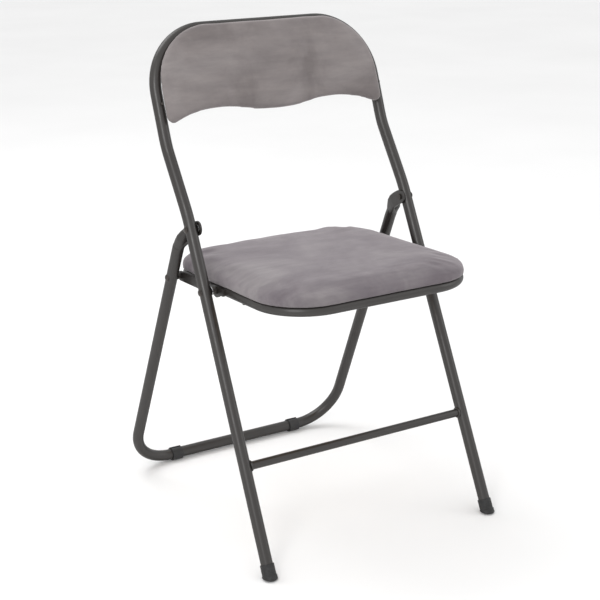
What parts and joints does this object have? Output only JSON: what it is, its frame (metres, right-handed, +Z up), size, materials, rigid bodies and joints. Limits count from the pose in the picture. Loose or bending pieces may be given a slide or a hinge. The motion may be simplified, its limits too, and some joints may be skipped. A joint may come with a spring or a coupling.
{
  "type": "folding chair",
  "caption": "Folding chair with a padded velvet seat and a padded backrest on a bent steel tube frame that folds flat.",
  "frame": {"origin": "on the floor, in the middle of the chair's outer box", "axes": "+Z up, -Y the way the sitter faces, +X across the chair"},
  "size_m": [0.451, 0.5001, 0.799],
  "materials": {
    "painted_tube": "semi-gloss black-brown enamel",
    "black_fastener": "blackened steel, satin",
    "zinc_steel": "bright zinc",
    "velvet": "short-pile velvet, warm grey",
    "foam": "open-cell foam",
    "plywood": "raw plywood",
    "boot_rubber": "matte moulded rubber",
    "glide_plastic": "moulded plastic"
  },
  "bodies": {
    "front_frame": {"front_frame_tube": "painted_tube", "front_crossbar": "painted_tube", "crossbar_weld_beads": "painted_tube", "foot_boot_left": "boot_rubber", "foot_boot_right": "boot_rubber", "foot_discs": "glide_plastic", "pivot_rivet_left": "black_fastener", "pivot_rivet_right": "black_fastener", "pivot_washers": "zinc_steel", "seat_bolt_left": "black_fastener", "seat_bolt_right": "black_fastener", "seat_bolt_washers": "zinc_steel", "seat_bolt_spacers": "black_fastener", "seat_bolt_nuts": "black_fastener", "back_board": "plywood", "back_foam": "foam", "back_cover": "velvet", "back_screws": "black_fastener"},
    "seat": {"seat_ring_tube": "painted_tube", "seat_pivot_ear_left": "painted_tube", "seat_pivot_ear_right": "painted_tube", "link_rivet_left": "black_fastener", "link_rivet_right": "black_fastener", "link_bushes": "black_fastener", "seat_board": "plywood", "seat_foam": "foam", "seat_cover": "velvet", "seat_screws": "black_fastener", "seat_staples": "zinc_steel"},
    "rear_frame": {"rear_frame_tube": "painted_tube", "rear_bar_glide_left": "glide_plastic", "rear_bar_glide_right": "glide_plastic", "rear_bolt_left": "black_fastener", "rear_bolt_right": "black_fastener", "rear_bolt_spacers": "black_fastener"},
    "link_left": {"fold_link_left": "painted_tube", "link_stud_left": "black_fastener", "link_nut_left": "black_fastener"},
    "link_right": {"fold_link_right": "painted_tube", "link_stud_right": "black_fastener", "link_nut_right": "black_fastener"}
  },
  "joints": [
    {"name": "rear_fold", "type": "hinge", "parent": "front_frame", "child": "rear_frame", "pos_m": [0, 0.00292, 0.498], "axis": [-1, 0, 0], "range_deg": [0, 49.13]},
    {"name": "seat_fold", "type": "hinge", "parent": "front_frame", "child": "seat", "pos_m": [0, -0.04115, 0.407], "axis": [1, 0, 0], "range_deg": [0, 66.17]},
    {"name": "link_left_fold", "type": "hinge", "parent": "seat", "child": "link_left", "pos_m": [0, 0.00579, 0.40536], "axis": [-1, 0, 0], "range_deg": [0, 158.05]},
    {"name": "link_right_fold", "type": "hinge", "parent": "seat", "child": "link_right", "pos_m": [0, 0.00579, 0.40536], "axis": [-1, 0, 0], "range_deg": [0, 158.05]}
  ],
  "couplings": [
    {"joint": "seat_fold", "follows": "rear_fold", "ratio": 1.3466},
    {"joint": "link_left_fold", "follows": "rear_fold", "ratio": 3.2165},
    {"joint": "link_right_fold", "follows": "rear_fold", "ratio": 3.2165}
  ]
}
